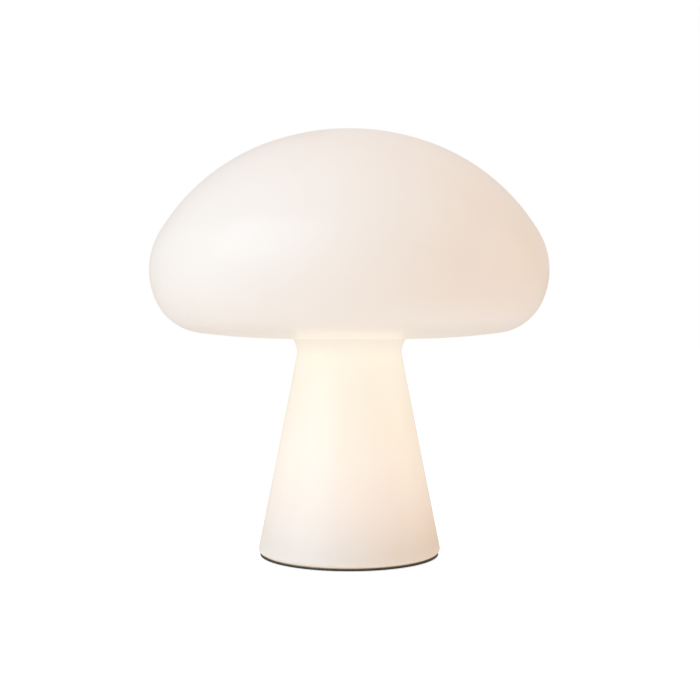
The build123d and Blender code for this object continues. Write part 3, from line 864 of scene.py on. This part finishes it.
# %% Powder coat, felt and bulb glow
def powder_coat_material():
    """Nearly black powder coat with a pebbled skin, dust in patches and rubbed edges."""
    material, tree, shader = new_material("powder_coated_steel")
    pebbles, dust = add_grain(tree, 0.35, 14.0)
    color = blend_colors(tree, spread(tree, dust, 0, 1), (0.022, 0.019, 0.017), (0.048, 0.041, 0.036))
    color = blend_colors(tree, add_wear(tree, 0.4, 0.35), color, (0.30, 0.27, 0.24))
    tree.links.new(color, shader.inputs["Base Color"])
    tree.links.new(spread(tree, dust, 0.42, 0.62), shader.inputs["Roughness"])
    roughen(tree, shader, pebbles, 0.09)
    return material


def felt_material():
    """Pressed felt: matted fibres, with lighter ones on top, and a soft sheen."""
    material, tree, shader = new_material("pressed_felt")
    where = tree.nodes.new("ShaderNodeTexCoord").outputs["Object"]
    swirl = place(tree, "ShaderNodeTexNoise", Vector=where, Scale=420.0, Detail=3.0)
    bent = place(tree, "ShaderNodeVectorMath", {"operation": "MULTIPLY_ADD"})
    tree.links.new(swirl.outputs["Color"], bent.inputs[0])
    bent.inputs[1].default_value = (0.003, 0.003, 0.003)
    tree.links.new(where, bent.inputs[2])
    fibres = place(tree, "ShaderNodeTexWave", {"wave_type": "BANDS"}, Vector=bent.outputs[0], Scale=520.0,
                   Distortion=9.0, Detail=4.0, Detail_Scale=2.2)
    tufts, patches = add_grain(tree, 0.9, 10.0)
    height = calculate(tree, "ADD", fibres.outputs["Fac"], tufts)
    color = blend_colors(tree, spread(tree, tufts, 0, 1), (0.018, 0.018, 0.020), (0.060, 0.060, 0.064))
    tree.links.new(color, shader.inputs["Base Color"])
    tree.links.new(spread(tree, patches, 0.9, 1.0), shader.inputs["Roughness"])
    roughen(tree, shader, height, 0.12)
    shader.inputs["Sheen Weight"].default_value = 0.4
    return material


def bulb_opal_material():
    """The lit globe: brightest at its crown, a little warmer towards the collar."""
    material, tree, shader = new_material("lit_bulb_opal")
    where = tree.nodes.new("ShaderNodeTexCoord").outputs["Object"]
    height = place(tree, "ShaderNodeSeparateXYZ", Vector=where).outputs["Z"]
    share = place(tree, "ShaderNodeMapRange", Value=height, From_Min=globe_low.z, From_Max=globe_high.z)
    color = blend_colors(tree, share.outputs[0], (0.86, 0.52, 0.24), (0.80, 0.58, 0.34))
    tree.links.new(color, shader.inputs["Emission Color"])
    grain, patches = add_grain(tree, 0.3, 12.0)
    tint = blend_colors(tree, spread(tree, patches, 0, 1), (0.80, 0.78, 0.74), (0.84, 0.83, 0.80))
    tree.links.new(tint, shader.inputs["Base Color"])
    tree.links.new(spread(tree, grain, 0.40, 0.50), shader.inputs["Roughness"])
    roughen(tree, shader, grain, 0.004)
    shader.inputs["Emission Strength"].default_value = 1.0
    return material


def led_material():
    """A lit LED: yellow phosphor, brighter in its middle patches."""
    material, tree, shader = new_material("lit_led_phosphor")
    grain, patches = add_grain(tree, 0.15, 1.2)
    color = blend_colors(tree, spread(tree, patches, 0, 1), (0.80, 0.58, 0.12), (0.92, 0.74, 0.24))
    glow = blend_colors(tree, spread(tree, patches, 0, 1), (1.0, 0.80, 0.45), (1.0, 0.90, 0.65))
    tree.links.new(color, shader.inputs["Base Color"])
    tree.links.new(glow, shader.inputs["Emission Color"])
    tree.links.new(spread(tree, grain, 0.25, 0.45), shader.inputs["Roughness"])
    roughen(tree, shader, grain, 0.01)
    shader.inputs["Emission Strength"].default_value = 2.0
    return material


powder_coat = powder_coat_material()
pressed_felt = felt_material()
lit_globe = bulb_opal_material()
lit_led = led_material()
print("special finishes:", powder_coat.name, pressed_felt.name, lit_globe.name, lit_led.name)

# %% Metals
zinc_steel = finish("zinc_plated_steel", ((0.60, 0.57, 0.53), (0.74, 0.68, 0.58)), (0.24, 0.44), 0.006,
                    size=0.35, patch=3.0, metallic=1.0)
spring_steel = finish("rolled_spring_steel", ((0.52, 0.49, 0.46), (0.64, 0.60, 0.56)), (0.20, 0.42), 0.008,
                      size=0.12, patch=5.0, stretch=(1, 1, 14), metallic=1.0, worn=(0.72, 0.72, 0.72))
brass = finish("machined_brass", ((0.70, 0.50, 0.20), (0.80, 0.62, 0.30)), (0.18, 0.36), 0.006,
               size=0.2, patch=4.0, stretch=(6, 6, 1), metallic=1.0)
bronze = finish("bronze_strip", ((0.62, 0.36, 0.18), (0.72, 0.46, 0.26)), (0.22, 0.40), 0.006,
                size=0.15, patch=3.0, stretch=(8, 1, 1), metallic=1.0)
nickel = finish("nickel_plate", ((0.62, 0.60, 0.56), (0.72, 0.70, 0.66)), (0.14, 0.30), 0.004,
                size=0.3, patch=3.5, metallic=1.0, worn=(0.80, 0.72, 0.52))
solder = finish("tin_solder", ((0.52, 0.52, 0.53), (0.66, 0.66, 0.66)), (0.28, 0.46), 0.02,
                size=0.5, patch=1.5, metallic=1.0)
print("metals:", ", ".join(m.name for m in (zinc_steel, spring_steel, brass, bronze, nickel, solder)))

# %% Rubbers, plastics and boards
silicone = finish("milky_silicone", ((0.78, 0.71, 0.60), (0.84, 0.78, 0.68)), (0.42, 0.58), 0.01,
                  size=0.4, patch=6.0)
bush_rubber = finish("moulded_rubber", ((0.82, 0.74, 0.62), (0.88, 0.81, 0.70)), (0.52, 0.68), 0.012,
                     size=0.3, patch=5.0)
holder_plastic = finish("holder_plastic", ((0.86, 0.79, 0.67), (0.91, 0.85, 0.74)), (0.30, 0.44), 0.008,
                        size=0.25, patch=10.0)
core_plastic = finish("holder_core_plastic", ((0.66, 0.63, 0.54), (0.73, 0.70, 0.61)), (0.32, 0.46), 0.006,
                      size=0.25, patch=6.0)
bulb_white = finish("bulb_collar_plastic", ((0.90, 0.84, 0.74), (0.94, 0.89, 0.80)), (0.22, 0.32), 0.004,
                    size=0.3, patch=9.0)
black_glass = finish("fused_black_glass", ((0.012, 0.010, 0.016), (0.022, 0.020, 0.028)), (0.06, 0.16), 0.01,
                     size=0.8, patch=2.5)
board_white = finish("white_solder_mask", ((0.76, 0.77, 0.76), (0.82, 0.82, 0.80)), (0.30, 0.42), 0.004,
                     size=0.2, patch=4.0)
board_green = finish("glass_fibre_board", ((0.022, 0.12, 0.045), (0.04, 0.17, 0.07)), (0.26, 0.42), 0.01,
                     size=0.3, patch=1.0, stretch=(1, 1, 3))
part_black = finish("moulded_black", ((0.020, 0.020, 0.022), (0.034, 0.034, 0.036)), (0.34, 0.52), 0.008,
                    size=0.2, patch=2.0)
print("plastics and boards are ready")

# %% [markdown]
# ## Dressing the parts
#
# Each visible part gets its finish, by name. The exact parts keep their meshes: only what is in their material
# slots changes.

# %% Assign the finishes
turned_pieces = {
    glass: opal_glass, felt: pressed_felt, bush: bush_rubber, holder_lower: holder_plastic,
    holder_upper: holder_plastic, tube: zinc_steel, globe: lit_globe, collar: bulb_white, punch_marks: nickel,
}
slot_finishes = {
    "dark_steel": powder_coat, "clear_silicone": silicone, "spring_steel": spring_steel,
    "zinc_steel": zinc_steel, "holder_core_plastic": core_plastic, "brass": brass, "bronze_strip": bronze,
    "nickel": nickel, "solder": solder, "black_glass": black_glass, "board_white": board_white,
    "led_yellow": lit_led, "board_green": board_green, "part_black": part_black, "tinned_wire": solder,
}
for piece, material in turned_pieces.items():
    piece.data.materials.clear()
    piece.data.materials.append(material)
dressed = 0
for part in frame["record"]["subparts"]:
    node = nodes[part["node"]]
    material = slot_finishes.get(part["material_slot"])
    if material and not node.hide_render:
        for slot in node.material_slots:
            slot.material = material
        dressed += 1
print("dressed:", len(turned_pieces), "turned pieces and", dressed, "exact parts")

# %% [markdown]
# ## Stage, light and camera
#
# The photograph is a cut-out on white, taken from the lamp's own height. The floor is plain and pale and glows
# a little for the camera alone, so that it stays as white as the paper and still takes a soft shadow. From below
# it lets the camera through, so the underside can be looked at. The light is soft: the sky all round, a large
# cool panel at the left and front, and two weak ones at the right and the back that lift the far edges.

# %% Floor
def floor_material():
    """A pale floor that is lifted to white for the camera only, and can be looked through from below."""
    material, tree, shader = new_material("pale_floor")
    shader.inputs["Base Color"].default_value = (0.86, 0.86, 0.86, 1)
    shader.inputs["Roughness"].default_value = 0.9
    shader.inputs["Specular IOR Level"].default_value = 0.0
    shader.inputs["Emission Color"].default_value = (1, 1, 1, 1)
    seen = tree.nodes.new("ShaderNodeLightPath").outputs["Is Camera Ray"]
    tree.links.new(calculate(tree, "MULTIPLY", seen, 0.78), shader.inputs["Emission Strength"])
    from_below = tree.nodes.new("ShaderNodeNewGeometry").outputs["Backfacing"]
    tree.links.new(calculate(tree, "SUBTRACT", 1.0, from_below), shader.inputs["Alpha"])
    return material


deselect_all()
bpy.ops.mesh.primitive_plane_add(size=60.0, location=(0, 0, -0.05 * MM))
floor = bpy.context.object
floor.name = "studio_floor"
floor.data.materials.append(floor_material())
print("floor:", floor.name)

# %% Light
def soft_panel(name, location, width, height, power, color):
    """A large area light that faces the middle of the lamp."""
    deselect_all()
    bpy.ops.object.light_add(type="AREA", location=location)
    panel = bpy.context.object
    panel.name = name
    panel.data.shape = "RECTANGLE"
    panel.data.size = width
    panel.data.size_y = height
    panel.data.energy = power
    panel.data.color = color
    aim = Vector((0, 0, top / 2)) - Vector(location)
    panel.rotation_euler = aim.to_track_quat("-Z", "Y").to_euler()


def studio_sky(strength):
    """An even white sky for the camera, and a dimmer one for everything that it lights."""
    world = bpy.data.worlds.new("studio_sky")
    bpy.context.scene.world = world
    world.use_nodes = True
    tree = world.node_tree
    seen = tree.nodes.new("ShaderNodeLightPath").outputs["Is Camera Ray"]
    lift = calculate(tree, "MULTIPLY_ADD", seen, 1.0 - strength)
    lift.node.inputs[2].default_value = strength
    background = tree.nodes["Background"]
    background.inputs["Color"].default_value = (1, 1, 1, 1)
    tree.links.new(lift, background.inputs["Strength"])


studio_sky(0.30)
soft_panel("cool_panel_left", (-1.85, -1.5, 1.4), 2.6, 2.6, 41.0, (0.54, 0.84, 1.0))
soft_panel("weak_panel_right", (1.8, 0.1, 0.7), 1.2, 1.2, 3.5, (0.74, 0.88, 0.78))
soft_panel("cool_panel_back", (0.9, 2.1, 1.3), 2.2, 2.2, 4.5, (0.54, 0.84, 1.0))
bpy.context.scene.view_settings.view_transform = "Standard"
print("light: a sky and three panels")

# %% Camera
image_width = 700
focal_pixels = 1071.6
sensor_width = 36.0
horizon_above_middle = 5.5
lamp_left_of_middle = 0.7
camera_distance = 0.5991
camera_height = 0.11705


def photograph_camera():
    """The camera at the photograph's distance and height, tipped down by the few pixels of its horizon."""
    deselect_all()
    offset = lamp_left_of_middle * camera_distance / focal_pixels
    bpy.ops.object.camera_add(location=(offset, -camera_distance, camera_height))
    camera = bpy.context.object
    camera.name = "photograph_camera"
    tip = math.atan(horizon_above_middle / focal_pixels)
    camera.rotation_euler = (math.pi / 2 - tip, 0, 0)
    camera.data.sensor_width = sensor_width
    camera.data.lens = focal_pixels / image_width * sensor_width
    camera.data.clip_start = 0.01
    bpy.context.scene.camera = camera
    return camera


camera = photograph_camera()
print("camera:", round(camera.data.lens, 2), "mm lens")
